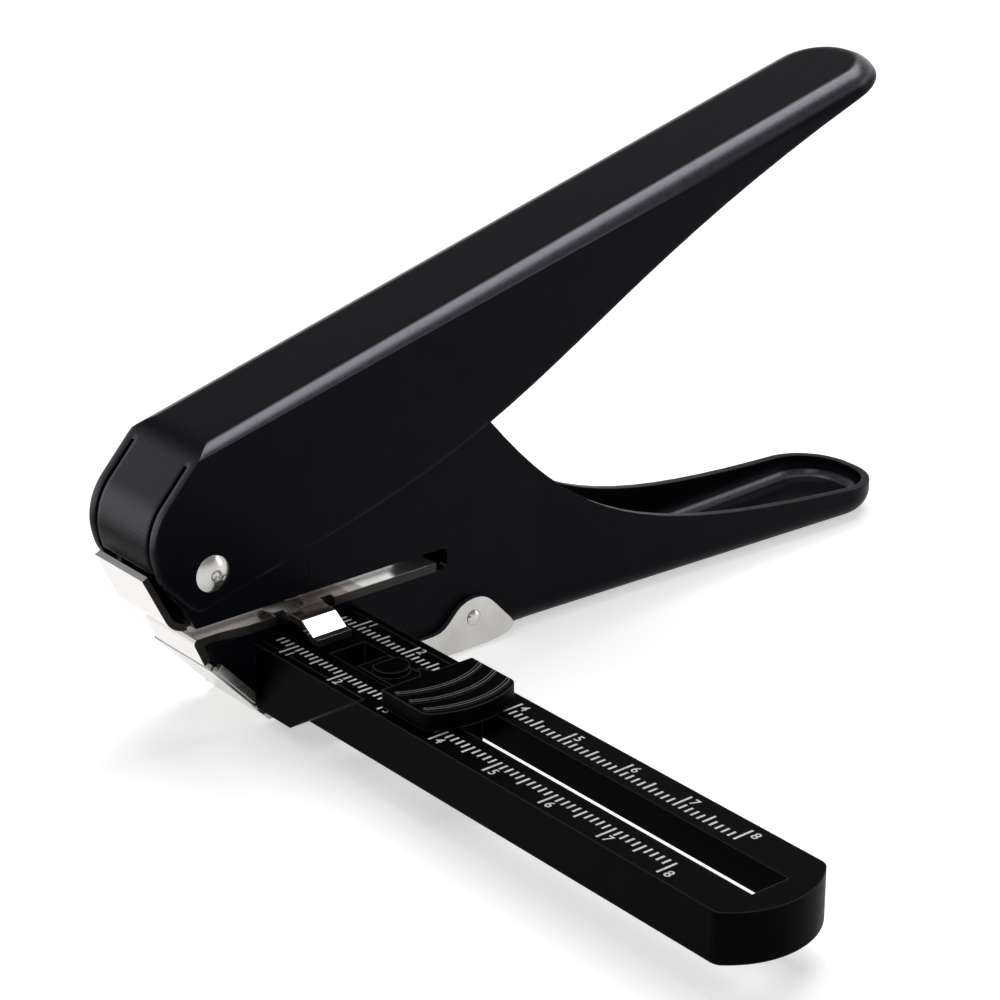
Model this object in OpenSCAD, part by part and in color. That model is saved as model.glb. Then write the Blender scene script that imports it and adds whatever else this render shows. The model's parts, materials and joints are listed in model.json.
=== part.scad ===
// Plier style single hole punch with a side ruler and a sliding edge stop.
// The origin is on the rest plane under the punch axis. +X runs back to the
// handles, the ruler runs along -Y and +Z is up. Sizes are in millimetres.

/* [Sheet metal] */
// Thickness of the body and lever sheet
sheet_t = 1.2; // [0.9:0.1:1.4]
// Thickness of the die plate
die_t = 1.2; // [0.8:0.1:1.5]
// Thickness of the guide plate
guide_t = 0.9; // [0.6:0.1:1.2]
// Thickness of the chip cover sheet
cover_t = 0.8; // [0.5:0.1:1]

/* [Body] */
// Width over the body walls
body_w = 11.6; // [11.4:0.1:13.4]
// Width of the lower handle at its end
handle_w = 17; // [15:0.1:18]
// Punch axis to the end of the lower handle
handle_reach = 103.3; // [98:0.1:120]
// Punch axis to the front fold of the die plate
jaw_reach = 17.2; // [17:0.1:18.6]
// Punch axis to the back of the throat
throat_depth = 22.6; // [18:0.1:23]
// Height of the die plate's top above the rest plane
die_h = 13.7; // [13.4:0.1:16]
// Clear height of the paper gap
paper_gap = 1.7; // [1.2:0.1:2.2]
// Depth of the lower handle at its end
handle_rim = 4.2; // [4:0.1:5]
// Radius of the lower handle's bottom edges
handle_edge_r = 3; // [2.4:0.1:3.2]

/* [Lever] */
// Pivot axis ahead of the punch axis
pivot_ahead = 15.1; // [14.7:0.1:15.5]
// Pivot axis above the guide plate's underside
pivot_rise = 7.6; // [7.4:0.1:8.6]
// Slope of the lever's top at rest in degrees
lever_tilt = 14.3; // [13.5:0.05:15]
// Pivot axis to the lever's top face
lever_rise = 15.7; // [15.2:0.05:17]
// Pivot axis to the lever's end along its top
lever_reach = 123; // [118:0.5:140]
// Width of the lever at its end
lever_w = 17; // [16.2:0.1:19]
// Running gap between the lever walls and the body walls
lever_gap = 0.3; // [0.2:0.05:0.6]
// Radius of the lever's top edges
lever_edge_r = 3.4; // [2:0.1:3.4]
// Full squeeze of the lever in degrees
squeeze = 16; // [13:0.5:16.5]
// Width of the slits beside the lever's front apron
slit_w = 0.7; // [0.4:0.1:1]
// Diameter of the pivot rivet's shank
rivet_d = 3.2; // [2.8:0.1:3.6]
// Diameter of the pivot rivet's heads
rivet_head_d = 4.9; // [4.2:0.1:5.5]
// Outer diameter of the spacer on the pivot rivet
spacer_d = 6; // [5:0.1:7]

/* [Punch] */
// Diameter of the punched hole
hole_d = 6; // [5:0.1:6.2]
// Radius of the punch's domed top
dome_r = 5; // [4.5:0.1:6]
// Height of the guide bush
bush_h = 4; // [3:0.1:4.5]
// Depth of the die bush under the die plate
die_bush_h = 2; // [1.2:0.1:2.6]
// Thickness of the washer and of the retaining ring
washer_t = 0.8; // [0.5:0.1:1]
// Wire diameter of the return spring
wire_d = 0.9; // [0.7:0.05:1]
// Turns of the return spring
spring_turns = 6; // [5:1:8]

/* [Ruler] */
// Width of the ruler
ruler_w = 16.4; // [15.6:0.1:19]
// Punch axis to the ruler's tip
ruler_reach = 93.8; // [92:0.1:120]
// Height of the ruler's sides
ruler_t = 6.5; // [6.2:0.1:7]
// Die plate's top down to the ruler's top
ruler_drop = 2.75; // [2.6:0.05:3.2]
// Thickness of the ruler's deck
deck_t = 2; // [1.6:0.1:2.4]
// Thickness of the ruler's side walls
ruler_wall = 1.4; // [1.2:0.1:1.6]
// Width of the slot along the ruler
slot_w = 5.4; // [4.8:0.1:5.8]
// Punch axis to the slot's near end
slot_start = 14.2; // [13.8:0.1:15]
// Length left between the slot and the ruler's tip
slot_margin = 3.8; // [3.6:0.1:6]
// Depth of the collar round the slot
collar_h = 4.1; // [3.6:0.1:4.3]
// Bulge of the ruler's round tip
tip_bulge = 3.5; // [2.5:0.1:4.5]
// Wall thickness of the ruler holder's cheeks
holder_wall = 1.2; // [1:0.1:1.6]

/* [Edge stop] */
// Distance from the punch axis at which the stop stands
stop_at = 30.4; // [29:0.1:40]
// Width of the stop's thumb pad
pad_w = 13.8; // [13:0.1:15]
// Length of the thumb pad's sides
pad_len = 8.4; // [8:0.1:10]
// Thickness of the thumb pad
pad_h = 2.3; // [1.6:0.1:3]
// Length of the tongue ahead of the thumb pad
tongue_len = 10.9; // [9:0.1:11.2]
// Gap between the thumb pad and the ruler
pad_gap = 0.3; // [0.2:0.05:0.5]
// Thickness of the clip under the slot
clip_t = 0.8; // [0.5:0.1:0.9]

/* [Chip cover] */
// Punch axis to the foot of the cover's front ramp
ramp_toe = 6.8; // [6.2:0.1:7.6]
// Punch axis to the cover's hinge rivets
ear_x = 26.2; // [25.6:0.1:27.4]
// Height of the cover's hinge rivets
ear_z = 4.5; // [4.3:0.1:5]
// Radius of the ears round the rivets
ear_r = 2.8; // [2.4:0.1:3.2]
// Height of the flange on the cover's ramp
flange_h = 1.5; // [1.2:0.1:2]
// Diameter of the cover's rivets
cover_rivet_d = 1.4; // [1.2:0.1:2]

/* [Hidden] */
$fn = 64;

// Clearances
run_gap = 0.05;     // radial gap of pins and of the punch in its bores
seat_gap = 0.1;     // gap between flat faces that move past each other
fold_gap = 0.3;     // gap between the body walls and the folded sheets round them
cover_gap = 0.2;    // side gap between the chip cover and the body walls
drive_gap = 0.3;    // gap between the punch's top and the lever
seam = 0.15;        // visible joint between the ruler and its holder
far = 200;          // reach of cutting blocks

// Small vector helpers
function unit(v) = v / norm(v);
function turned_left(v) = [-v[1], v[0]];
function turned_right(v) = [v[1], -v[0]];
function x_at(p, dir, z) = p[0] + dir[0] * (z - p[1]) / dir[1];

// Body heights and widths
body_half = body_w / 2;
body_in = body_half - sheet_t;
handle_half = handle_w / 2;
flare_x = 38;
die_z = die_h - die_t;
guide_z = die_h + paper_gap;
guide_top = guide_z + guide_t;
pivot_z = guide_z + pivot_rise;
jaw_low = cover_t + 0.2;
plate_half = body_half + 0.2;
plate_front = body_half - 0.4;
plate_back = throat_depth - 2;
throat_corner_r = 0.8;
tab_x0 = -3;
tab_x1 = 2.2;
tab_t = die_t - 0.2;
tab_reach = body_half + 6.4;
tab_foot = 1.2;
tab_brow = 2.6;
notch_w = 1.8;
notch_d = 1;
notch_room = 0.2;
guide_back = plate_back;
guide_fold_r = 3;
guide_lip_run = 2.4;
guide_lip_ahead = 8.4;
guide_lip_rise = 8.5;
guide_lip_half = body_half - 0.5;

// Front fold of the die plate and ramp of the chip cover, drawn in X and Z
fold = [-jaw_reach, die_h];
lip_end = [-jaw_reach + 1.7, die_h - 3.9];
lip_dir = unit(lip_end - fold);
lip_in = turned_left(lip_dir);
ramp_foot = [-ramp_toe, 0];
ramp_head = lip_end + [0.3, -0.5];
ramp_dir = unit(ramp_head - ramp_foot);
ramp_in = turned_right(ramp_dir);

// Outline of the body walls
jaw_r = 5.5;
neck = [30, pivot_z + 8];
neck_top = neck + [-2.5, 2.5];
rim_end = [handle_reach, handle_rim];
rim_low = [neck[0] + 28, 6.9];
rim_high = [neck[0] + 16.5, 11.2];
cover_back = ear_x - 3.2;
floor_x = cover_back + 1.7;
handle_corner_r = handle_half - 0.8;
flare = atan((handle_half - body_half) / (handle_reach - handle_corner_r - flare_x));

// Lever frame: origin on the pivot axis, first axis along the lever's top
lever_in = body_half + lever_gap;
lever_half = lever_in + sheet_t;
lever_end_half = lever_w / 2;
lever_corner_r = lever_end_half - 0.5;
apron_half = lever_in - slit_w;
apron_end = 3.1;
taper_in = 4;
taper_out = 8;
nose_u = -6.9;
nose_top = [3.6, lever_rise];
nose_brow = [nose_u, lever_rise - 6.8];
nose_r = 8;
nose_chin = [nose_u, 2.2];
heel = [-3.4, -4.15];
bend = [20, -4.2];
tail = [lever_reach, lever_rise - 2.3];
slit_top = lever_rise - 1.4;
rivet_r = rivet_d / 2;
rivet_bore_r = rivet_r + run_gap;
rivet_head_h = 1;
dimple_r = 0.75;

// Punch drive: height of the dome's centre above the pivot at a lever slope
drive_h = lever_rise - sheet_t - dome_r - drive_gap;
function dome_lift(slope) = pivot_ahead * tan(slope) + drive_h / cos(slope);
stroke = dome_lift(lever_tilt) - dome_lift(lever_tilt - squeeze);
punch_r = hole_d / 2;
bore_r = punch_r + run_gap;
dome_z = pivot_z + dome_lift(lever_tilt);
tip_z = guide_z + guide_t / 2;
bush_r = body_in - 0.3;
spring_seat = guide_top + bush_h;
groove_z = dome_z - 0.4;
groove_r = punch_r - 0.6;
ring_r = punch_r + 1.2;
washer_r = body_in - 0.3;
washer_low = groove_z - washer_t;
echo(pivot_z = pivot_z, stroke = stroke, mm_per_rad = stroke / (squeeze * PI / 180));
echo(spring_seat = spring_seat, dome_z = dome_z);

// Return spring
wire_r = wire_d / 2;
coil_r = punch_r + wire_r + 0.35;
spring_low = spring_seat + wire_r + run_gap;
spring_high = washer_low - wire_r - run_gap;
rings_per_turn = 8;
wire_sides = 6;
spring_rings = spring_turns * rings_per_turn;

// Ruler heights and lengths
ruler_top = die_h - ruler_drop;
ruler_bottom = ruler_top - ruler_t;
deck_z = ruler_top - deck_t;
ruler_half = ruler_w / 2;
tip_corner_r = 1.8;
slot_half = slot_w / 2;
slot_end = ruler_reach - slot_margin;
collar_wall = 1.2;
collar_z = ruler_top - collar_h;
deck_half = ruler_half - holder_wall;
root_y = body_half;

// Ruler holder
holder_low = cover_t + 1.05;
seam_top = 27;
seam_foot = 16.6;
holder_toe = 13;
holder_root = slot_start - collar_wall - 0.2;
holder_floor = ruler_bottom - 0.6;
holder_screw_x = 5;
holder_screw_z = 6.1;
holder_screw_r = 0.9;
holder_screw_len = 4.6;

// Edge stop
pad_half = pad_w / 2;
pad_z = ruler_top + pad_gap;
pad_bulge = 2.1;
pad_corner_r = 1.5;
ridge_w = 0.5;
ridge_h = 0.3;
ridge_step = 2.7;
stem_half = slot_half - 0.3;
stem_back = stop_at + 0.2;
stem_end = stop_at + pad_len - 0.8;
clip_top = collar_z - 0.2;
clip_half = slot_half + collar_wall + 1.6;
clip_len = 12;
stop_screw_y = stop_at + 3;
stop_screw_r = 0.9;
stop_screw_head_r = 1.6;
stop_screw_head_h = 1;

// Chip cover
holder_room = ruler_half + 0.8;
ear_rivet_r = cover_rivet_d / 2;
ear_head_r = ear_rivet_r + 0.4;
ear_head_h = 0.5;

// Colours
black_coat = [0.07, 0.07, 0.08];
black_plastic = [0.09, 0.09, 0.1];
nickel = [0.78, 0.77, 0.75];
tool_steel = [0.55, 0.55, 0.57];

// Points on a cubic curve from a to d with handles b and c
function curve(a, b, c, d, n = 10) =
    [for (i = [0:n])
        let (t = i / n, s = 1 - t)
        s * s * s * a + 3 * s * s * t * b + 3 * s * t * t * c + t * t * t * d];

// Points on the arc of radius r that rounds the corner b between a and c
function corner(a, b, c, r, n = 6) =
    let (u = unit(a - b), w = unit(c - b), half = acos(u * w) / 2,
         mid = b + unit(u + w) * r / sin(half),
         arm = b + u * r / tan(half) - mid,
         side = u[0] * w[1] - u[1] * w[0] > 0 ? -1 : 1)
    [for (i = [0:n])
        let (g = side * (180 - 2 * half) * i / n)
        mid + [arm[0] * cos(g) - arm[1] * sin(g), arm[0] * sin(g) + arm[1] * cos(g)]];

// A flat shape drawn in X and Z, given its width about the middle plane
module across(width) {
    rotate([90, 0, 0]) linear_extrude(width, center = true) children();
}

// Something drawn for the far side, on both sides
module both_sides() {
    for (side = [0, 1])
        mirror([0, side, 0]) children();
}

// A pair of wall plates drawn in X and Z, from inner to outer distance
module walls(inner, outer) {
    both_sides() translate([0, outer, 0]) rotate([90, 0, 0]) linear_extrude(outer - inner) children();
}

// A tall block that widens from one half width at x0 to another at x1
module wedge(x0, half0, x1, half1) {
    translate([0, 0, -far / 2]) linear_extrude(far)
        polygon([[x0 - far, -half0], [x0, -half0], [x1, -half1], [x1 + far, -half1],
                 [x1 + far, half1], [x1, half1], [x0, half0], [x0 - far, half0]]);
}

// A shape drawn in Y and Z, given its width along X about the punch axis
module along_x(width) {
    rotate([90, 0, 90]) linear_extrude(width, center = true) children();
}

// A pin along Y between two places
module cross_pin(r, y0, y1) {
    translate([0, y1, 0]) rotate([90, 0, 0]) cylinder(r = r, h = y1 - y0);
}

// Edge view of a folded sheet along its middle line
module sheet_path(points, t) {
    for (i = [0:len(points) - 2]) {
        a = points[i];
        b = points[i + 1];
        translate(a) rotate(atan2(b[1] - a[1], b[0] - a[0]))
            translate([0, -t / 2]) square([norm(b - a), t]);
    }
    for (i = [1:len(points) - 2])
        translate(points[i]) circle(d = t);
}

// Half section of a block with a rounded lower edge
module tub_side(r, edge_r, depth) {
    translate([0, edge_r]) square([r, depth - edge_r]);
    square([r - edge_r, depth]);
    translate([r - edge_r, edge_r]) circle(edge_r);
}

// Long block with rounded lower edges, closed at x1 by a round cornered end
module tub(x0, x1, half, corner_r, edge_r, depth) {
    both_sides() {
        translate([x0, 0, 0]) rotate([90, 0, 90]) linear_extrude(x1 - corner_r - x0)
            tub_side(half, edge_r, depth);
        translate([x1 - corner_r, half - corner_r, 0]) rotate_extrude(angle = 90)
            tub_side(corner_r, edge_r, depth);
        translate([x1 - corner_r, half - corner_r, 0]) rotate([90, 0, 0])
            linear_extrude(half - corner_r) tub_side(corner_r, edge_r, depth);
    }
}

// Half section of the handle's block, from just past its middle to its rounded side
module handle_section(half, depth) {
    translate([-0.3, 0]) square([half - handle_edge_r + 0.3, depth]);
    translate([-0.3, handle_edge_r]) square([half + 0.3, depth - handle_edge_r]);
    translate([half - handle_edge_r, handle_edge_r]) circle(handle_edge_r);
}

// The lower handle's block, or its inside when inset by the sheet
module handle_block(inset) {
    half = body_half - inset;
    r = handle_corner_r - inset;
    end_x = handle_reach - handle_corner_r;
    shift = (end_x - flare_x) * tan(flare);
    end_y = half + shift - r - 0.02;
    depth = 50 - inset;
    translate([0, 0, inset]) {
        both_sides() {
            translate([floor_x - inset, 0, 0]) rotate([90, 0, 90])
                linear_extrude(flare_x + 1 - floor_x + inset) handle_section(half, depth);
            translate([flare_x, half, 0]) rotate([0, 0, flare]) translate([-1.5, -half, 0]) rotate([90, 0, 90])
                linear_extrude((end_x - flare_x) / cos(flare) + 1.5) handle_section(half, depth);
            translate([end_x, end_y, 0]) rotate([0, 0, -10]) rotate_extrude(angle = 100 + flare)
                tub_side(r, handle_edge_r, depth);
            translate([end_x, end_y, 0]) rotate([90, 0, 0]) linear_extrude(end_y + 0.3)
                tub_side(r, handle_edge_r, depth);
        }
        linear_extrude(depth)
            polygon([[flare_x - 1, -0.6], [end_x + 1, -shift - 0.6], [end_x + 1, shift + 0.6],
                     [flare_x - 1, 0.6]]);
    }
}

// Plan of a bar along -Y with a bulged tip and rounded tip corners
module bar_plan(half, back, reach, bulge, corner_r, inset = 0) {
    arc_r = (half * half + bulge * bulge) / (2 * bulge);
    centre = -reach + arc_r;
    big_r = arc_r - inset;
    small_r = max(corner_r - inset, 0.3);
    x = half - inset - small_r;
    y = -sqrt(pow(big_r - small_r, 2) - x * x);
    translate([-half + inset, centre + y]) square([2 * (half - inset), -centre - y - back]);
    for (side = [-1, 1])
        translate([side * x, centre + y]) circle(small_r);
    translate([0, centre]) intersection() {
        circle(big_r);
        polygon([[0, 0], 2 * [x, y], [2 * x, 4 * y], [-2 * x, 4 * y], 2 * [-x, y]]);
    }
}

// Side view of the body walls with the throat cut in
module body_outline() {
    lip_line = fold + (die_t + seat_gap) * lip_in;
    front_x = x_at(lip_line, lip_dir, die_z);
    knee_z = lip_end[1] + 0.2;
    knee_x = x_at(lip_line, lip_dir, knee_z);
    foot_x = x_at(ramp_foot + (cover_t + fold_gap) * ramp_in, ramp_dir, jaw_low);
    pivot = [-pivot_ahead, pivot_z];
    difference() {
        union() {
            polygon(concat(
                [[foot_x, jaw_low], [floor_x, jaw_low], [floor_x, -1], [handle_reach + 1, -1],
                 [handle_reach + 1, handle_rim - 0.1]],
                curve(rim_end, rim_low, rim_high, neck, 20),
                corner(neck, neck_top, pivot + [0, jaw_r], 1.5),
                [pivot + [0, jaw_r], pivot, pivot + [-3.9, -3.5], [-jaw_reach + 0.4, guide_z],
                 [front_x, die_z], [knee_x, knee_z]]));
            translate(pivot) circle(jaw_r);
        }
        translate([-far, die_z]) square([far + throat_depth - throat_corner_r, guide_z - die_z]);
        translate([0, die_z + throat_corner_r])
            square([throat_depth, guide_z - die_z - 2 * throat_corner_r]);
        for (z = [die_z + throat_corner_r, guide_z - throat_corner_r])
            translate([throat_depth - throat_corner_r, z]) circle(throat_corner_r);
    }
}

// Body: two jaw walls that run back into a channel shaped lower handle
module lower_body() {
    color(black_coat) difference() {
        union() {
            walls(body_in, body_half) intersection() {
                body_outline();
                union() {
                    translate([-far, 0]) square([far + floor_x, far]);
                    translate([0, handle_edge_r + 1]) square([floor_x + 1, far]);
                }
            }
            difference() {
                intersection() {
                    across(2 * handle_w) body_outline();
                    handle_block(0);
                }
                handle_block(sheet_t);
            }
        }
        translate([-pivot_ahead, 0, pivot_z]) cross_pin(rivet_bore_r, -far, far);
        both_sides() translate([ear_x, 0, ear_z]) cross_pin(ear_rivet_r + run_gap, 0, far);
        for (side = [-1, 1])
            translate([side * holder_screw_x, 0, holder_screw_z])
                cross_pin(holder_screw_r + run_gap, -far, 0);
    }
}

// Die plate: paper table with a folded front and a tab that holds the ruler down
module die_plate() {
    mid = die_h - die_t / 2;
    fold_mid = [x_at(fold + die_t / 2 * lip_in, lip_dir, mid), mid];
    tab_z = ruler_top + tab_t / 2 + seat_gap;
    color(nickel) difference() {
        union() {
            intersection() {
                across(2 * body_w)
                    sheet_path([lip_end + die_t / 2 * lip_in, fold_mid, [plate_back, mid]], die_t);
                wedge(-jaw_reach + taper_in, plate_front, -jaw_reach + taper_out, plate_half);
            }
            translate([(tab_x0 + tab_x1) / 2, 0, 0]) mirror([0, 1, 0]) along_x(tab_x1 - tab_x0)
                sheet_path([[plate_half - 1.6, mid], [plate_half + tab_brow, mid],
                            [tab_reach - tab_foot, tab_z], [tab_reach, tab_z]], tab_t);
        }
        cylinder(r = bore_r, h = far);
        for (x = [tab_x0 - notch_room - notch_w, tab_x1 + notch_room])
            translate([x, -plate_half - 1, die_z - 1]) cube([notch_w, notch_d + 1, die_t + 2]);
    }
}

// Die bush: ring under the die plate that backs the die hole
module die_bush() {
    color(tool_steel) translate([0, 0, die_z - die_bush_h]) difference() {
        cylinder(r = bush_r, h = die_bush_h);
        translate([0, 0, -1]) cylinder(r = bore_r, h = die_bush_h + 2);
    }
}

// Guide plate: strips the paper off the punch, with a lip that leads paper in
module guide_plate() {
    mid = guide_z + guide_t / 2;
    back = [guide_back, mid];
    knee = [-jaw_reach - guide_lip_run, mid];
    lip_top = [-pivot_ahead - guide_lip_ahead, guide_z + guide_lip_rise];
    inside = [-jaw_reach - 0.6, body_in - seat_gap];
    color(nickel) difference() {
        across(2 * guide_lip_half)
            sheet_path(concat([back], corner(back, knee, lip_top, guide_fold_r), [lip_top]), guide_t);
        cylinder(r = bore_r, h = far);
        for (side = [0, 1])
            mirror([0, side, 0]) translate([inside[0], inside[1], 0]) cube([far, far, far]);
    }
}

// Guide bush: keeps the punch upright and seats the return spring
module guide_bush() {
    color(tool_steel) translate([0, 0, guide_top]) difference() {
        cylinder(r = bush_r, h = bush_h);
        translate([0, 0, -1]) cylinder(r = bore_r, h = bush_h + 2);
    }
}

// Half profile of the pivot rivet's domed head, with a dimple
module rivet_head() {
    r = rivet_head_d / 2;
    ball_r = (r * r + rivet_head_h * rivet_head_h) / (2 * rivet_head_h);
    difference() {
        intersection() {
            translate([0, rivet_head_h - ball_r]) circle(ball_r);
            square([r, rivet_head_h]);
        }
        translate([0, rivet_head_h]) circle(dimple_r);
    }
}

// Pivot rivet: joins the lever walls and the body walls
module pivot_rivet() {
    face = lever_half + seat_gap;
    color(nickel) translate([-pivot_ahead, 0, pivot_z]) {
        cross_pin(rivet_r, -face - 0.2, face + 0.2);
        for (side = [-1, 1])
            translate([0, side * face, 0]) rotate([-side * 90, 0, 0]) rotate_extrude() rivet_head();
    }
}

// Pivot spacer: tube that keeps the body walls apart on the rivet
module pivot_spacer() {
    half = body_in - run_gap;
    color(tool_steel) translate([-pivot_ahead, 0, pivot_z]) difference() {
        cross_pin(spacer_d / 2, -half, half);
        cross_pin(rivet_bore_r, -far, far);
    }
}

// Side view, drawn in Y and Z, of what lies past the slanted joint
module past_seam(gap) {
    polygon([[-seam_top - gap, ruler_top + 1], [-seam_top - gap, ruler_top],
             [-seam_foot - gap, ruler_bottom - 0.2], [-seam_foot - gap, ruler_bottom - 1],
             [-ruler_reach - 1, ruler_bottom - 1], [-ruler_reach - 1, ruler_top + 1]]);
}

// Ruler: hollow bar with a slotted deck, its deck runs on over the holder
module ruler() {
    color(black_plastic) difference() {
        union() {
            difference() {
                intersection() {
                    translate([0, 0, ruler_bottom]) linear_extrude(ruler_t)
                        bar_plan(ruler_half, root_y, ruler_reach, tip_bulge, tip_corner_r);
                    along_x(ruler_w + 2) past_seam(seam);
                }
                translate([0, 0, ruler_bottom - 1]) linear_extrude(deck_z - ruler_bottom + 1)
                    bar_plan(ruler_half, 0, ruler_reach, tip_bulge, tip_corner_r, ruler_wall);
            }
            translate([-deck_half, -seam_top - 4, deck_z])
                cube([2 * deck_half, seam_top + 4 - root_y, deck_t]);
            translate([-slot_half - collar_wall, -slot_end - collar_wall, collar_z])
                cube([slot_w + 2 * collar_wall, slot_end - slot_start + 2 * collar_wall,
                      collar_h - deck_t / 2]);
        }
        translate([-slot_half, -slot_end, 0]) cube([slot_w, slot_end - slot_start, far]);
    }
}

// Ruler holder: root block screwed to the body, with cheeks beside the ruler
module ruler_holder() {
    color(black_plastic) difference() {
        along_x(ruler_w)
            polygon([[-root_y, ruler_top], [-root_y, holder_low], [-holder_toe, holder_low],
                     [-holder_toe - 1, holder_low + 0.7], [-seam_foot, ruler_bottom - 0.2],
                     [-seam_top, ruler_top]]);
        translate([-deck_half, -seam_top - 5, deck_z]) cube([2 * deck_half, seam_top + 5, far]);
        translate([-deck_half, -seam_top - 5, holder_floor])
            cube([2 * deck_half, seam_top + 5 - holder_root, far]);
        for (side = [-1, 1])
            translate([side * holder_screw_x, 0, holder_screw_z])
                cross_pin(holder_screw_r + run_gap, -root_y - holder_screw_len, 0);
    }
}

// Two screws from inside the body into the holder
module holder_screws() {
    head_r = 1.6;
    head_h = 0.9;
    seat_y = body_in;
    color(tool_steel) for (side = [-1, 1])
        translate([side * holder_screw_x, 0, holder_screw_z]) {
            cross_pin(holder_screw_r, -root_y - holder_screw_len + 0.4, -seat_y);
            difference() {
                cross_pin(head_r, -seat_y, -seat_y + head_h);
                translate([0, -seat_y + head_h, 0]) cube([3 * head_r, head_h, 0.4], center = true);
            }
        }
}

// Two rivets that carry the chip cover's ears
module cover_rivets() {
    inner = body_in - run_gap;
    outer = body_half + cover_gap + cover_t + run_gap;
    ball_r = (ear_head_r * ear_head_r + ear_head_h * ear_head_h) / (2 * ear_head_h);
    color(nickel) both_sides() translate([ear_x, 0, ear_z]) {
        cross_pin(ear_rivet_r, inner - 0.5, outer + 0.1);
        cross_pin(ear_head_r, inner - 0.5, inner);
        translate([0, outer, 0]) rotate([-90, 0, 0]) rotate_extrude() intersection() {
            translate([0, ear_head_h - ball_r]) circle(ball_r);
            square([ear_head_r, ear_head_h]);
        }
    }
}

// Places children in the lever's own frame
module in_lever_frame() {
    translate([-pivot_ahead, 0, pivot_z]) rotate([0, -lever_tilt, 0]) children();
}

// Side view of the lever, from its tail over the nose to its heel
module lever_outline() {
    back = [lever_reach + 1, lever_rise];
    polygon(concat(
        [back], corner(back, nose_top, nose_brow, nose_r, 10),
        corner(nose_top, nose_brow, nose_chin, nose_r, 14),
        corner(nose_brow, nose_chin, heel, 5), corner(nose_chin, heel, bend, 2),
        curve(bend, bend + [38, 0.2], bend + [46, 12.8], tail, 20),
        [tail + [1, 0.1]]));
}

// Side view of the lever's inside, one sheet thickness in and open below
module lever_hollow() {
    inner_top = nose_top + sheet_t * [0.31, -1];
    inner_brow = nose_brow + sheet_t * [1, -0.55];
    chin = [inner_brow[0], -far];
    back = [lever_reach + 1, inner_top[1]];
    polygon(concat(
        [back], corner(back, inner_top, inner_brow, nose_r - sheet_t, 10),
        corner(inner_top, inner_brow, chin, nose_r - sheet_t, 14),
        [chin, [lever_reach + 1, -far]]));
}

// The lever's block, or its inside when inset by the sheet
module lever_block(inset) {
    intersection() {
        translate([0, 0, lever_rise - inset]) mirror([0, 0, 1])
            tub(nose_u - 5, lever_reach - inset, lever_end_half - inset, lever_corner_r - inset,
                lever_edge_r - inset, 60);
        wedge(nose_top[0], lever_half - inset, lever_reach - 8, lever_end_half - inset);
    }
}

// Lever: channel shaped upper handle with a folded front apron
module lever() {
    color(black_coat) in_lever_frame() difference() {
        intersection() {
            across(2 * lever_w) lever_outline();
            lever_block(0);
        }
        intersection() {
            across(2 * lever_w) lever_hollow();
            lever_block(sheet_t);
        }
        both_sides() {
            translate([nose_u - 5, -1, apron_end - 20]) cube([9, lever_in + 1, 20]);
            translate([nose_u - 5, apron_half, slit_top - 30]) cube([14, slit_w, 30]);
        }
        cross_pin(rivet_bore_r, -far, far);
    }
}

// Half profile of the punch with its dome and its ring groove
module punch_profile() {
    difference() {
        union() {
            translate([0, tip_z]) square([punch_r, dome_z - tip_z]);
            intersection() {
                translate([0, dome_z]) circle(dome_r);
                translate([0, dome_z]) square([punch_r, dome_r]);
            }
        }
        translate([groove_r, groove_z]) square([punch_r, washer_t]);
    }
}

// Punch pin: domed punch with a hollow ground tip and a groove for the ring
module punch_pin() {
    grind_r = punch_r * 3;
    color(tool_steel) difference() {
        rotate_extrude() punch_profile();
        translate([0, far / 2, tip_z - grind_r + 0.5]) rotate([90, 0, 0]) cylinder(r = grind_r, h = far);
    }
}

// Washer on top of the return spring
module spring_washer() {
    color(tool_steel) translate([0, 0, washer_low]) difference() {
        cylinder(r = washer_r, h = washer_t);
        translate([0, 0, -1]) cylinder(r = bore_r, h = washer_t + 2);
    }
}

// Retaining ring: open ring in the punch's groove
module retaining_ring() {
    color(tool_steel) translate([0, 0, groove_z]) difference() {
        cylinder(r = ring_r, h = washer_t - 0.1);
        translate([0, 0, -1]) cylinder(r = groove_r + run_gap, h = washer_t + 2);
        translate([-groove_r * 0.9, 0, -1]) cube([groove_r * 1.8, far, washer_t + 2]);
    }
}

// A point on the spring's middle line, counted in rings
function spring_mid(i) =
    let (a = 360 * i / rings_per_turn)
    [coil_r * cos(a), coil_r * sin(a), spring_low + (spring_high - spring_low) * i / spring_rings];

// A point on the wire's surface at ring i and side j
function spring_point(i, j) =
    let (a = 360 * i / rings_per_turn, b = 360 * j / wire_sides)
    spring_mid(i) + wire_r * [cos(b) * cos(a), cos(b) * sin(a), sin(b)];

// Least gap between the wire and the same wire one turn on
spring_gap = min([for (i = [0:spring_rings - rings_per_turn])
    norm(spring_mid(i + rings_per_turn) - spring_mid(i)) - wire_d]);
echo(spring_gap = spring_gap);

// Return spring: one wound wire round the guide bush and the punch
module return_spring() {
    points = [for (i = [0:spring_rings], j = [0:wire_sides - 1]) spring_point(i, j)];
    last = spring_rings * wire_sides;
    sides = [for (i = [0:spring_rings - 1], j = [0:wire_sides - 1])
        let (a = i * wire_sides + j, b = i * wire_sides + (j + 1) % wire_sides)
        each [[a, a + wire_sides, b], [b, a + wire_sides, b + wire_sides]]];
    ends = [for (j = [1:wire_sides - 2]) each [[0, j, j + 1], [last, last + j + 1, last + j]]];
    color(tool_steel) polyhedron(points, concat(sides, ends));
}

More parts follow.
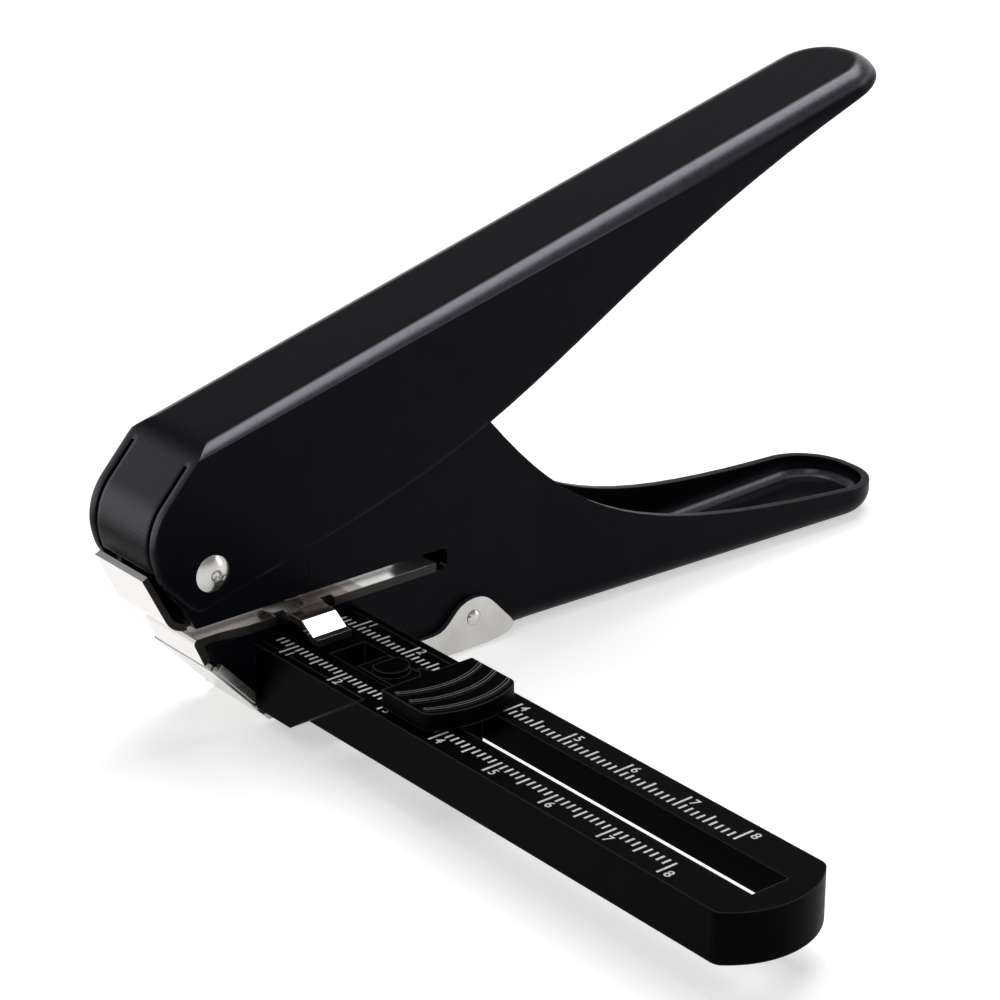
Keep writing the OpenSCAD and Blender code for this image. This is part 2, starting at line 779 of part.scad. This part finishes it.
// Edge stop: thumb pad with ridges, on a tongue that runs in the ruler's slot
module stop_slider() {
    pad_reach = stop_at + pad_len + pad_bulge;
    arc_r = (pad_half * pad_half + pad_bulge * pad_bulge) / (2 * pad_bulge);
    tongue_z = collar_z + 0.8;
    tongue_top = ruler_top + 0.2;
    boss_r = 2.3;
    boss_h = 0.8;
    boss_y = stop_at - 7.2;
    color(black_plastic) difference() {
        union() {
            translate([0, 0, pad_z]) linear_extrude(pad_h)
                bar_plan(pad_half, stop_at, pad_reach, pad_bulge, pad_corner_r);
            translate([0, 0, pad_z]) linear_extrude(pad_h + ridge_h) intersection() {
                bar_plan(pad_half, stop_at, pad_reach, pad_bulge, pad_corner_r, 0.5);
                for (i = [0:2])
                    translate([0, arc_r - pad_reach + 0.8 + i * ridge_step]) difference() {
                        circle(arc_r);
                        circle(arc_r - ridge_w);
                        translate([-far, 0]) square([2 * far, far]);
                    }
            }
            translate([-stem_half, -stem_end, clip_top])
                cube([2 * stem_half, stem_end - stem_back, pad_z - clip_top + 0.5]);
            translate([-stem_half, -stem_end, tongue_z])
                cube([2 * stem_half, stem_end - stop_at + tongue_len, tongue_top - tongue_z]);
            translate([0, -boss_y, tongue_top - 0.3]) linear_extrude(boss_h + 0.3) intersection() {
                circle(boss_r);
                translate([-boss_r, -far]) square([2 * boss_r, far + 1.4]);
            }
        }
        translate([0, -stop_screw_y, 0]) cylinder(r = stop_screw_r + run_gap, h = pad_z);
    }
}

// Clip: steel plate under the slot that holds the stop to the ruler
module slider_clip() {
    color(tool_steel) difference() {
        translate([-clip_half, -stop_at - clip_len / 2, clip_top - clip_t])
            cube([2 * clip_half, clip_len, clip_t]);
        translate([0, -stop_screw_y, 0]) cylinder(r = stop_screw_r + run_gap, h = far);
    }
}

// Screw that holds the clip to the stop
module slider_screw() {
    head_z = clip_top - clip_t - stop_screw_head_h;
    color(tool_steel) translate([0, -stop_screw_y, head_z]) difference() {
        union() {
            cylinder(r = stop_screw_head_r, h = stop_screw_head_h);
            cylinder(r = stop_screw_r, h = pad_z - 0.4 - head_z);
        }
        cube([0.5, 3 * stop_screw_head_r, 0.8], center = true);
    }
}

// Side view of the chip cover's side flanges and ears
module cover_flange() {
    ear_top = ear_z + ear_r;
    rise = ear_z - 0.8;
    heel_end = [ear_x + 6.2, 2.8];
    foot_z = 0.2;
    height = flange_h - cover_t / 2;
    low = ramp_foot + cover_t / 2 * ramp_in;
    high = ramp_head + cover_t / 2 * ramp_in - 0.4 * ramp_dir;
    difference() {
        polygon([low, high, high + height * ramp_in, low + height * ramp_in]);
        translate([-holder_room, -far / 2]) square([far, far]);
    }
    polygon(concat(
        [[holder_room, foot_z], [holder_room, rise]],
        curve([ear_x - 6.8, rise], [ear_x - 3.4, rise], [ear_x - 3.6, ear_top], [ear_x + 0.2, ear_top], 8),
        curve([ear_x + 0.2, ear_top], [ear_x + 2.8, ear_top], [ear_x + 3.4, 5.6], heel_end, 8),
        curve(heel_end, heel_end + [1.4, -1.4], heel_end + [0.4, -2.3], [ear_x + 2.6, foot_z], 6)));
}

// Chip cover: tray under the body that swings down on its ears
module chip_cover() {
    half_t = cover_t / 2;
    toe = [x_at(ramp_foot + half_t * ramp_in, ramp_dir, half_t), half_t];
    color(nickel) difference() {
        union() {
            intersection() {
                across(2 * body_w)
                    sheet_path([[cover_back, half_t], toe, ramp_head + half_t * ramp_in], cover_t);
                difference() {
                    wedge(0, body_half + cover_gap + half_t, far, body_half + cover_gap + half_t);
                    both_sides() translate([-holder_room, body_half - cover_gap, cover_t + cover_gap])
                        cube([2 * holder_room, far, far]);
                }
            }
            walls(body_half + cover_gap, body_half + cover_gap + cover_t) cover_flange();
        }
        both_sides() translate([ear_x, 0, ear_z]) cross_pin(ear_rivet_r + run_gap, 0, far);
    }
}

lower_body();
die_plate();
die_bush();
guide_plate();
guide_bush();
pivot_rivet();
pivot_spacer();
ruler();
ruler_holder();
holder_screws();
cover_rivets();
lever();
punch_pin();
spring_washer();
retaining_ring();
return_spring();
stop_slider();
slider_clip();
slider_screw();
chip_cover();
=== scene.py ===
"""Looks of the single hole punch: materials, printed scale, wound spring, light and camera."""

import json
import math

import bmesh
import bpy
from mathutils import Matrix, Vector


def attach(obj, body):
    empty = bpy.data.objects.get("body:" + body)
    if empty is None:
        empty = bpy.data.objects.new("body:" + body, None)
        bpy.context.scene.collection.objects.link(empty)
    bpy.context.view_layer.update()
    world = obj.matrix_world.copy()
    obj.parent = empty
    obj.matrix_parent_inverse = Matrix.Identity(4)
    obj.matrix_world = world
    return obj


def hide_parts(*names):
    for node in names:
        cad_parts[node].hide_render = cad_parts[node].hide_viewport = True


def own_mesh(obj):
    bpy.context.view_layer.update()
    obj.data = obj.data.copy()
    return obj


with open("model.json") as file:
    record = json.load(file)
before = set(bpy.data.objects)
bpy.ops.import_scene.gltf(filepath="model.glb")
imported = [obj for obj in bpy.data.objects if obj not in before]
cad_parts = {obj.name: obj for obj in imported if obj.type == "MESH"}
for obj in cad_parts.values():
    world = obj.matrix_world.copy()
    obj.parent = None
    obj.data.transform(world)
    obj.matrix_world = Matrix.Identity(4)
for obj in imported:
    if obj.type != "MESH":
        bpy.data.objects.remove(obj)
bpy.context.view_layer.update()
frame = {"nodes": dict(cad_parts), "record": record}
nodes = frame["nodes"]
scene = bpy.context.scene
MM = 0.001

# Sizes repeated from the part's source, in millimetres
LEVER_TILT = 14.3
RULER_TOP = 10.95
PAD_TOP = 13.55
BODY_HALF = 5.8
SPRING_SEAT = 20.3
SPRING_TOP = 35.143
WIRE_R = 0.45
COIL_R = 3.8
TURNS = 6

# Printed scale, in millimetres
SCALE_FIRST, SCALE_LAST = 7, 80
MARK_HALF = 0.16
MARK_LONG, MARK_MIDDLE, MARK_SHORT = 3.0, 2.0, 1.3
LEFT_MARKS, RIGHT_MARKS = -4.4, 4.0
LEFT_FIGURES, RIGHT_FIGURES = -6.7, 6.3
FIGURE_SIZE, FIGURE_PAST_MARK, FIGURE_TURN = 1.9, 1.15, -90
INK_SUNK, INK_RISE = 0.01, 0.012

# Camera fitted to the photo, in millimetres
CAMERA_AT = Vector((-205.9, -295.5, 179.96))
CAMERA_FORWARD = Vector((0.5827, 0.7111, -0.3936))
CAMERA_RIGHT = Vector((0.7735, -0.6338, 0.0))
LENS, SENSOR = 111.6, 36


# Node helpers
class Maker:
    """Builds one node material step by step."""

    def __init__(self, name):
        self.mat = bpy.data.materials.new(name)
        self.mat.use_nodes = True
        self.tree = self.mat.node_tree
        self.shader = self.tree.nodes["Principled BSDF"]

    def add(self, kind, **values):
        node = self.tree.nodes.new(kind)
        for key, value in values.items():
            if hasattr(node, key):
                setattr(node, key, value)
            else:
                node.inputs[key.replace("_", " ")].default_value = value
        return node

    def link(self, a, out, b, socket):
        self.tree.links.new(a.outputs[out], b.inputs[socket])

    def set(self, **values):
        for key, value in values.items():
            self.shader.inputs[key.replace("_", " ")].default_value = value

    def coords(self, stretch=(1, 1, 1), tilt=0.0):
        where = self.add("ShaderNodeTexCoord")
        turn = self.add("ShaderNodeMapping")
        turn.inputs["Rotation"].default_value = (0, math.radians(tilt), 0)
        turn.inputs["Scale"].default_value = stretch
        self.link(where, "Object", turn, "Vector")
        return turn

    def noise(self, scale, detail=3.0, rough=0.55, stretch=(1, 1, 1), tilt=0.0):
        node = self.add("ShaderNodeTexNoise")
        node.inputs["Scale"].default_value = scale
        node.inputs["Detail"].default_value = detail
        node.inputs["Roughness"].default_value = rough
        self.link(self.coords(stretch, tilt), "Vector", node, "Vector")
        return node

    def ramp(self, source, out, stops):
        node = self.add("ShaderNodeValToRGB")
        band = node.color_ramp
        while len(band.elements) < len(stops):
            band.elements.new(0.5)
        for element, (place, value) in zip(band.elements, stops):
            element.position = place
            element.color = value if len(value) == 4 else (*value, 1)
        self.link(source, out, node, "Fac")
        return node

    def spread(self, source, out, low, high, from_low=0.3, from_high=0.7):
        node = self.add("ShaderNodeMapRange")
        node.inputs["From Min"].default_value = from_low
        node.inputs["From Max"].default_value = from_high
        node.inputs["To Min"].default_value = low
        node.inputs["To Max"].default_value = high
        self.link(source, out, node, "Value")
        return node

    def bump(self, source, out, depth_mm, strength=1.0, before=None):
        node = self.add("ShaderNodeBump")
        node.inputs["Strength"].default_value = strength
        node.inputs["Distance"].default_value = depth_mm * MM
        self.link(source, out, node, "Height")
        if before:
            self.link(before, "Normal", node, "Normal")
        return node

    def bevel(self, radius_mm):
        node = self.add("ShaderNodeBevel")
        node.samples = 6
        node.inputs["Radius"].default_value = radius_mm * MM
        return node


def grey(v, tint=0.0):
    return (v, v, v * (1 + tint), 1)


# Materials
def rub_mask(m, low, high, tilt=0.0, front=1.0, fall=2):
    """1 on rounded upper edges that hands rub, 0 on flat faces, walls and the underside.

    The tilt turns the part's top level, front weighs edges that face along X, and a larger
    fall dims side edges sooner as they get steep.
    """
    where = m.add("ShaderNodeTexCoord")
    turn = m.add("ShaderNodeMapping", vector_type="VECTOR")
    turn.inputs["Rotation"].default_value = (0, math.radians(tilt), 0)
    m.link(where, "Normal", turn, "Vector")
    parts = m.add("ShaderNodeSeparateXYZ")
    m.link(turn, "Vector", parts, "Vector")

    def times(first, out, second, other):
        node = m.add("ShaderNodeMath", operation="MULTIPLY")
        m.link(first, out, node, 0)
        m.link(second, other, node, 1)
        return node

    upward = m.add("ShaderNodeMath", operation="MAXIMUM")
    m.link(parts, "Z", upward, 0)
    upward.inputs[1].default_value = 0.0
    lifted = m.add("ShaderNodeMath", operation="POWER")
    m.link(upward, "Value", lifted, 0)
    lifted.inputs[1].default_value = fall
    beside = times(times(parts, "Y", parts, "Y"), "Value", lifted, "Value")
    level = times(upward, "Value", upward, "Value")
    ahead = times(times(parts, "X", parts, "X"), "Value", level, "Value")
    both = m.add("ShaderNodeMath", operation="MULTIPLY_ADD")
    m.link(ahead, "Value", both, 0)
    both.inputs[1].default_value = front
    m.link(beside, "Value", both, 2)
    edge = m.add("ShaderNodeMapRange", interpolation_type="SMOOTHSTEP")
    edge.inputs["From Min"].default_value = low
    edge.inputs["From Max"].default_value = high
    m.link(both, "Value", edge, "Value")
    return edge


def wear_mask(m, edge, start=0.99, full=0.85):
    """1 along sharp edges, found where the rounded normal leaves the face's own."""
    face = m.add("ShaderNodeNewGeometry")
    match = m.add("ShaderNodeVectorMath", operation="DOT_PRODUCT")
    m.link(edge, "Normal", match, 0)
    m.link(face, "Normal", match, 1)
    marked = m.add("ShaderNodeMapRange")
    marked.inputs["From Min"].default_value = start
    marked.inputs["From Max"].default_value = full
    m.link(match, "Value", marked, "Value")
    return marked


def worn_tone(m, tone, marked, colour):
    """Mixes a second colour into the tone where the mask is set, and feeds the shader."""
    mix = m.add("ShaderNodeMix", data_type="RGBA")
    m.link(marked, 0, mix, 0)
    m.tree.links.new(tone.outputs["Color"], mix.inputs[6])
    mix.inputs[7].default_value = colour
    m.tree.links.new(mix.outputs[2], m.shader.inputs["Base Color"])


def black_coat(name="black_coat", low=0.19, high=0.247, tilt=0.0, front=1.0, fall=2,
               round_mm=0.28):
    """Satin powder coat on sheet steel: fine orange peel, rubbed glossier on its round edges."""
    m = Maker(name)
    m.set(IOR=1.5, Specular_Tint=(0.88, 0.86, 1, 1))
    edge = m.bevel(round_mm)
    mottle = m.noise(240, 4)
    tone = m.ramp(mottle, "Fac", [(0.3, grey(0.0019, 0.7)), (0.7, grey(0.0029, 0.7))])
    worn_tone(m, tone, wear_mask(m, edge), grey(0.009, 0.1))
    rubbed = rub_mask(m, low, high, tilt, front, fall)
    shine = m.spread(rubbed, "Result", 0.045, 0.9, 0, 1)
    m.link(shine, "Result", m.shader, "Specular IOR Level")
    gloss = m.noise(900, 3, 0.6)
    rough = m.spread(gloss, "Fac", 0.34, 0.41)
    sleek = m.add("ShaderNodeMath", operation="MULTIPLY")
    m.link(rubbed, "Result", sleek, 0)
    sleek.inputs[1].default_value = 0.09
    final = m.add("ShaderNodeMath", operation="SUBTRACT")
    m.link(rough, "Result", final, 0)
    m.link(sleek, "Value", final, 1)
    m.link(final, "Value", m.shader, "Roughness")
    peel = m.noise(1700, 2)
    soft = m.bump(peel, "Fac", 0.004, 0.4, edge)
    grain = m.noise(4200, 1)
    m.link(m.bump(grain, "Fac", 0.002, 0.5, soft), "Normal", m.shader, "Normal")
    return m.mat


def only_above(m, mask, height_mm):
    """Keeps a mask above a height and fades it to a fifth below."""
    where = m.add("ShaderNodeTexCoord")
    parts = m.add("ShaderNodeSeparateXYZ")
    m.link(where, "Object", parts, "Vector")
    high = m.spread(parts, "Z", 0.2, 1.0, height_mm * MM, (height_mm + 0.1) * MM)
    kept = m.add("ShaderNodeMath", operation="MULTIPLY")
    m.link(mask, "Result", kept, 0)
    m.link(high, "Result", kept, 1)
    return kept


def black_plastic(name="black_plastic", edge_tone=0.05, shine=0.3, pale_edge_from=0.0):
    """Moulded plastic: fine spark erosion grain, paler along its sharp edges, fully above a given
    height and a fifth as much below it.
    """
    m = Maker(name)
    m.set(IOR=1.49)
    edge = m.bevel(0.3)
    mottle = m.noise(260, 3)
    tone = m.ramp(mottle, "Fac", [(0.3, grey(0.0009, 0.45)), (0.7, grey(0.0015, 0.45))])
    worn_tone(m, tone, only_above(m, wear_mask(m, edge), pale_edge_from), grey(edge_tone))
    rubbed = rub_mask(m, 0.03, 0.2)
    level = m.spread(rubbed, "Result", 0.014, shine, 0, 1)
    m.link(level, "Result", m.shader, "Specular IOR Level")
    gloss = m.noise(900, 3)
    m.link(m.spread(gloss, "Fac", 0.32, 0.42), "Result", m.shader, "Roughness")
    grain = m.noise(4200, 2)
    m.link(m.bump(grain, "Fac", 0.004, 0.4, edge), "Normal", m.shader, "Normal")
    return m.mat


def nickel():
    """Bright nickel plate on stamped sheet: rolling streaks, cloudiness, and painted dark
    reflection lines along its sharp edges.
    """
    m = Maker("nickel")
    m.set(Metallic=0.95)
    edge = m.bevel(0.1)
    cloud = m.noise(160, 4)
    tone = m.ramp(cloud, "Fac", [(0.3, (0.5, 0.485, 0.465)), (0.7, (0.62, 0.61, 0.59))])
    # Painted reflection: the sharp edges are darkened into thin dark lines, standing in for dark
    # surroundings mirrored there.
    worn_tone(m, tone, wear_mask(m, edge), (0.36, 0.345, 0.33, 1))
    streak = m.noise(260, 5, 0.65, (1, 9, 9))
    m.link(m.spread(streak, "Fac", 0.15, 0.23), "Result", m.shader, "Roughness")
    wave = m.bump(m.noise(110, 2), "Fac", 0.012, 0.25, edge)
    m.link(m.bump(streak, "Fac", 0.001, 0.3, wave), "Normal", m.shader, "Normal")
    return m.mat


def sliding_nickel(name, stops):
    """Nickel that paper slides on, with painted reflections and light: the tone changes along X,
    and faces turned towards −Y are dull and dark.
    """
    m = Maker(name)
    m.set(Metallic=0.95)
    edge = m.bevel(0.1)
    where = m.add("ShaderNodeTexCoord")
    along = m.add("ShaderNodeSeparateXYZ")
    m.link(where, "Object", along, "Vector")
    # Painted reflection and light: the tone along X stands in for what the plates mirror, not for
    # the plating itself.
    low, high = stops[0][0], stops[-1][0]
    place = m.spread(along, "X", 0, 1, low * MM, high * MM)
    tone = m.ramp(place, "Result", [((at - low) / (high - low), colour) for at, colour in stops])
    # Faces turned towards −Y take a dark tone and a rougher finish.
    parts = m.add("ShaderNodeSeparateXYZ")
    m.link(where, "Normal", parts, "Vector")
    near_face = m.spread(parts, "Y", 0, 1, -0.9, -0.97)
    worn_tone(m, tone, near_face, NEAR_FACE_DARK)
    m.link(m.spread(near_face, "Result", 0.1, 0.5, 0, 1), "Result", m.shader, "Roughness")
    wave = m.bump(m.noise(110, 2), "Fac", 0.012, 0.12, edge)
    streak = m.noise(260, 5, 0.65, (1, 9, 9))
    m.link(m.bump(streak, "Fac", 0.001, 0.2, wave), "Normal", m.shader, "Normal")
    return m.mat


def tool_steel():
    """Turned or ground steel with fine tool marks round Z."""
    m = Maker("tool_steel")
    m.set(Metallic=1.0)
    cloud = m.noise(220, 3)
    tone = m.ramp(cloud, "Fac", [(0.3, (0.36, 0.36, 0.37)), (0.7, (0.5, 0.5, 0.51))])
    m.link(tone, "Color", m.shader, "Base Color")
    turned = m.noise(700, 3, 0.5, (0.05, 0.05, 1))
    m.link(m.spread(turned, "Fac", 0.22, 0.4), "Result", m.shader, "Roughness")
    edge = m.bevel(0.1)
    m.link(m.bump(turned, "Fac", 0.004, 0.5, edge), "Normal", m.shader, "Normal")
    return m.mat


def scale_ink():
    """White pad printed ink: slightly uneven cover on the black plastic."""
    m = Maker("scale_ink")
    m.set(Specular_IOR_Level=0.4)
    cover = m.noise(1800, 3, 0.6)
    tone = m.ramp(cover, "Fac", [(0.25, grey(0.42)), (0.5, grey(0.72)), (0.8, grey(0.8))])
    m.link(tone, "Color", m.shader, "Base Color")
    m.link(m.spread(cover, "Fac", 0.5, 0.65), "Result", m.shader, "Roughness")
    return m.mat


FINISH = {
    "black_coat": black_coat(),
    "black_plastic": black_plastic(),
    "nickel": nickel(),
    "tool_steel": tool_steel(),
}
INK = scale_ink()
# Dark, dull tone for the plates' faces turned towards −Y.
NEAR_FACE_DARK = (0.03, 0.028, 0.027, 1)
# Plate tones along X: pale nickel at the front, a brown painted reflection of the dark body from 0
# to 8.5 mm, painted bright light past 8.9 mm.
PALE, PAINTED_BODY_REFLECTION, PAINTED_BRIGHT_LIGHT = (0.74, 0.72, 0.7), (0.5, 0.46, 0.43), (0.95, 0.95, 0.94)
PLATES = sliding_nickel("plate_nickel_painted_reflections", [(-20, PALE), (-5, PALE), (0, PAINTED_BODY_REFLECTION), (8.5, PAINTED_BODY_REFLECTION),
                                         (8.9, PAINTED_BRIGHT_LIGHT), (25, PAINTED_BRIGHT_LIGHT)])
OTHER = {
    # Painted highlights: on the stop slider the pale edge colour on the ridges above the pad top
    # stands in for glints.
    "stop_slider": black_plastic("stop_plastic", edge_tone=0.34, shine=0.5,
                                 pale_edge_from=PAD_TOP + 0.2),
    "die_plate": PLATES,
    "guide_plate": PLATES,
    "lever": black_coat("lever_coat", low=0.008, high=0.06, tilt=LEVER_TILT, front=0.17, fall=5,
                        round_mm=0.8),
}
for sub in frame["record"]["subparts"]:
    part = nodes[sub["node"]]
    part.data.materials.clear()
    part.data.materials.append(OTHER.get(sub["node"], FINISH[sub["material_slot"]]))


# Mesh helpers
def new_piece(name, mesh, material, body):
    piece = bpy.data.objects.new(name, mesh)
    scene.collection.objects.link(piece)
    mesh.materials.append(material)
    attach(piece, body)
    return piece


# Wound spring
def spring_mesh():
    """One round wire wound in an even helix, with closed ends on both sides."""
    steps, sides, end_gap = 48, 14, 0.05
    low = SPRING_SEAT + WIRE_R + end_gap
    high = SPRING_TOP - WIRE_R - end_gap
    bm = bmesh.new()
    rings = []
    total = TURNS * steps
    for i in range(total + 1):
        turn = 2 * math.pi * i / steps
        z = low + (high - low) * i / total
        ring = []
        for j in range(sides):
            b = 2 * math.pi * j / sides
            r = COIL_R + WIRE_R * math.cos(b)
            ring.append(bm.verts.new((r * math.cos(turn) * MM, r * math.sin(turn) * MM,
                                      (z + WIRE_R * math.sin(b)) * MM)))
        rings.append(ring)
    for a, b in zip(rings, rings[1:]):
        for j in range(sides):
            k = (j + 1) % sides
            bm.faces.new((a[j], b[j], b[k], a[k]))
    bm.faces.new(rings[0])
    bm.faces.new(list(reversed(rings[-1])))
    bmesh.ops.recalc_face_normals(bm, faces=bm.faces)
    for f in bm.faces:
        f.smooth = len(f.verts) == 4
    mesh = bpy.data.meshes.new("return_spring_wire")
    bm.to_mesh(mesh)
    bm.free()
    return mesh


spring = new_piece("return_spring_wire", spring_mesh(), FINISH["tool_steel"], "body")
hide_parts("return_spring")
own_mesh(spring)


# Printed scale
def ink_boxes(bars):
    """Thin printed bars (x0, x1, y0, y1 in millimetres) on the ruler's top."""
    bm = bmesh.new()
    for x0, x1, y0, y1 in bars:
        low, high = RULER_TOP - INK_SUNK, RULER_TOP + INK_RISE
        corners = [bm.verts.new((x * MM, y * MM, z * MM))
                   for z in (low, high) for x, y in ((x0, y0), (x1, y0), (x1, y1), (x0, y1))]
        for ids in ((3, 2, 1, 0), (4, 5, 6, 7), (0, 1, 5, 4), (1, 2, 6, 5), (2, 3, 7, 6),
                    (3, 0, 4, 7)):
            bm.faces.new([corners[i] for i in ids])
    mesh = bpy.data.meshes.new("scale_marks")
    bm.to_mesh(mesh)
    bm.free()
    return mesh


def scale_bars():
    """A mark for every millimetre on both sides of the slot, longer at 5 and 10."""
    bars = []
    for mm in range(SCALE_FIRST, SCALE_LAST + 1):
        length = MARK_LONG if mm % 10 == 0 else MARK_MIDDLE if mm % 5 == 0 else MARK_SHORT
        ends = (-mm - MARK_HALF, -mm + MARK_HALF)
        bars.append((LEFT_MARKS - length, LEFT_MARKS, *ends))
        bars.append((RIGHT_MARKS, RIGHT_MARKS + length, *ends))
    return bars


new_piece("scale_marks", ink_boxes(scale_bars()), INK, "body")


def number(text, x, y, size, turn):
    """A plain figure printed flat on the ruler's top."""
    data = bpy.data.curves.new("figure", "FONT")
    data.body = text
    data.size = size * MM
    data.align_x = "CENTER"
    data.align_y = "CENTER"
    data.extrude = 0.008 * MM
    data.offset = 0.02 * MM
    made = bpy.data.objects.new("figure", data)
    scene.collection.objects.link(made)
    made.matrix_world = (Matrix.Translation((x * MM, y * MM, (RULER_TOP + 0.004) * MM))
                         @ Matrix.Rotation(math.radians(turn), 4, "Z"))
    bpy.context.view_layer.update()
    shown = made.evaluated_get(bpy.context.evaluated_depsgraph_get())
    mesh = bpy.data.meshes.new_from_object(shown)
    mesh.transform(made.matrix_world)
    bpy.data.objects.remove(made)
    return mesh


def figures():
    """The centimetres on both sides of the slot, joined in one mesh."""
    bm = bmesh.new()
    for cm in range(1, SCALE_LAST // 10 + 1):
        for x in (LEFT_FIGURES, RIGHT_FIGURES):
            mesh = number(str(cm), x, -10.0 * cm - FIGURE_PAST_MARK, FIGURE_SIZE, FIGURE_TURN)
            bm.from_mesh(mesh)
            bpy.data.meshes.remove(mesh)
    joined = bpy.data.meshes.new("scale_figures")
    bm.to_mesh(joined)
    bm.free()
    joined.materials.clear()
    return joined


new_piece("scale_figures", figures(), INK, "body")


# Pressed centre mark
def mark_mesh():
    """A small raised hook on the near wall, level with the guide bush, by the punch axis."""
    line = [(0.55, 19.3), (0.62, 18.6), (0.6, 17.9), (0.45, 17.2), (0.15, 16.7), (-0.25, 16.5)]
    half, rise, base = 0.16, 0.07, -BODY_HALF + 0.03
    bm = bmesh.new()
    rows = []
    for i, (x, z) in enumerate(line):
        ahead = Vector(line[min(i + 1, len(line) - 1)]) - Vector(line[max(i - 1, 0)])
        across = Vector((-ahead.y, ahead.x)).normalized() * half
        row = []
        for t in range(7):
            turn = math.pi * t / 6
            row.append(bm.verts.new(((x + across.x * math.cos(turn)) * MM,
                                     (base - (rise + 0.03) * math.sin(turn)) * MM,
                                     (z + across.y * math.cos(turn)) * MM)))
        rows.append(row)
    for a, b in zip(rows, rows[1:]):
        for t in range(7):
            u = (t + 1) % 7
            bm.faces.new((a[t], b[t], b[u], a[u]))
    bm.faces.new(rows[0])
    bm.faces.new(list(reversed(rows[-1])))
    bmesh.ops.recalc_face_normals(bm, faces=bm.faces)
    mesh = bpy.data.meshes.new("centre_mark")
    bm.to_mesh(mesh)
    bm.free()
    return mesh


new_piece("centre_mark", mark_mesh(), FINISH["black_coat"], "body")


# Stage
def floor():
    """A large pale floor, whiter far from the object, that keeps a faint shadow."""
    size = 4.0
    mesh = bpy.data.meshes.new("floor")
    mesh.from_pydata([(-size, -size, 0), (size, -size, 0), (size, size, 0), (-size, size, 0)], [],
                     [(0, 1, 2, 3)])
    made = bpy.data.objects.new("floor", mesh)
    made.location.z = -0.0004
    scene.collection.objects.link(made)
    m = Maker("floor")
    m.set(Base_Color=grey(0.86), Roughness=0.9, Specular_IOR_Level=0.1)
    m.set(Emission_Color=grey(1.0))
    away = m.add("ShaderNodeVectorMath", operation="LENGTH")
    m.link(m.add("ShaderNodeTexCoord"), "Object", away, 0)
    m.link(m.spread(away, "Value", 0.52, 1.0, 0.45, 1.6), "Result", m.shader, "Emission Strength")
    mesh.materials.append(m.mat)


def sky():
    """White studio walls that darken overhead; seen and mirrored walls are full white."""
    world = bpy.data.worlds.new("studio")
    scene.world = world
    world.use_nodes = True
    tree = world.node_tree
    back = tree.nodes["Background"]

    def node(kind, **values):
        made = tree.nodes.new(kind)
        for key, value in values.items():
            setattr(made, key, value)
        return made

    rays = node("ShaderNodeLightPath")
    seen = node("ShaderNodeMath", operation="MAXIMUM")
    tree.links.new(rays.outputs["Is Camera Ray"], seen.inputs[0])
    tree.links.new(rays.outputs["Is Transmission Ray"], seen.inputs[1])
    shown = node("ShaderNodeMath", operation="MAXIMUM")
    tree.links.new(seen.outputs[0], shown.inputs[0])
    tree.links.new(rays.outputs["Is Glossy Ray"], shown.inputs[1])
    level = node("ShaderNodeMapRange")
    level.inputs["To Min"].default_value = 0.4
    level.inputs["To Max"].default_value = 1.0
    tree.links.new(shown.outputs[0], level.inputs["Value"])
    where = node("ShaderNodeTexCoord")
    height = node("ShaderNodeSeparateXYZ")
    tree.links.new(where.outputs["Generated"], height.inputs[0])
    tone = node("ShaderNodeValToRGB")
    walls, above = tone.color_ramp.elements
    walls.position, walls.color = 0.25, (1, 1, 1, 1)
    above.position, above.color = 0.6, (0.3, 0.3, 0.31, 1)
    tree.links.new(height.outputs["Z"], tone.inputs["Fac"])
    tree.links.new(tone.outputs["Color"], back.inputs["Color"])
    tree.links.new(level.outputs["Result"], back.inputs["Strength"])


def lamp(name, place, target, size, watts, along=None):
    """A soft rectangle aimed at the target, its first side along a given direction."""
    data = bpy.data.lights.new(name, "AREA")
    data.shape = "RECTANGLE"
    data.size, data.size_y = size
    data.energy = watts
    made = bpy.data.objects.new(name, data)
    scene.collection.objects.link(made)
    aim = (Vector(place) - Vector(target)).normalized()
    side = Vector(along) if along else Vector((0, 0, 1)).cross(aim)
    side = (side - side.dot(aim) * aim).normalized()
    high = aim.cross(side)
    made.matrix_world = Matrix.Translation(place) @ Matrix((side, high, aim)).transposed().to_4x4()


floor()
sky()
MIDDLE = (0.04, -0.02, 0.03)
lamp("key", (-0.45, -0.35, 0.95), MIDDLE, (0.5, 0.5), 1.2)
lamp("strip", (0.24, 0.165, 0.78), MIDDLE, (0.8, 0.56), 4.5, (0.97, 0, 0.25))
lamp("side", (0.8, -0.5, 0.35), MIDDLE, (0.3, 0.5), 1.2)
lamp("front", (0.47, -0.06, 0.66), (0, -0.01, 0.011), (0.13, 0.13), 0.064)

scene.view_settings.view_transform = "Standard"

camera_data = bpy.data.cameras.new("camera")
camera_data.sensor_width = SENSOR
camera_data.lens = LENS
camera = bpy.data.objects.new("camera", camera_data)
scene.collection.objects.link(camera)
scene.camera = camera
forward = CAMERA_FORWARD.normalized()
right = (CAMERA_RIGHT - CAMERA_RIGHT.dot(forward) * forward).normalized()
turned = Matrix((right, right.cross(forward), -forward)).transposed().to_4x4()
camera.matrix_world = Matrix.Translation(CAMERA_AT * MM) @ turned
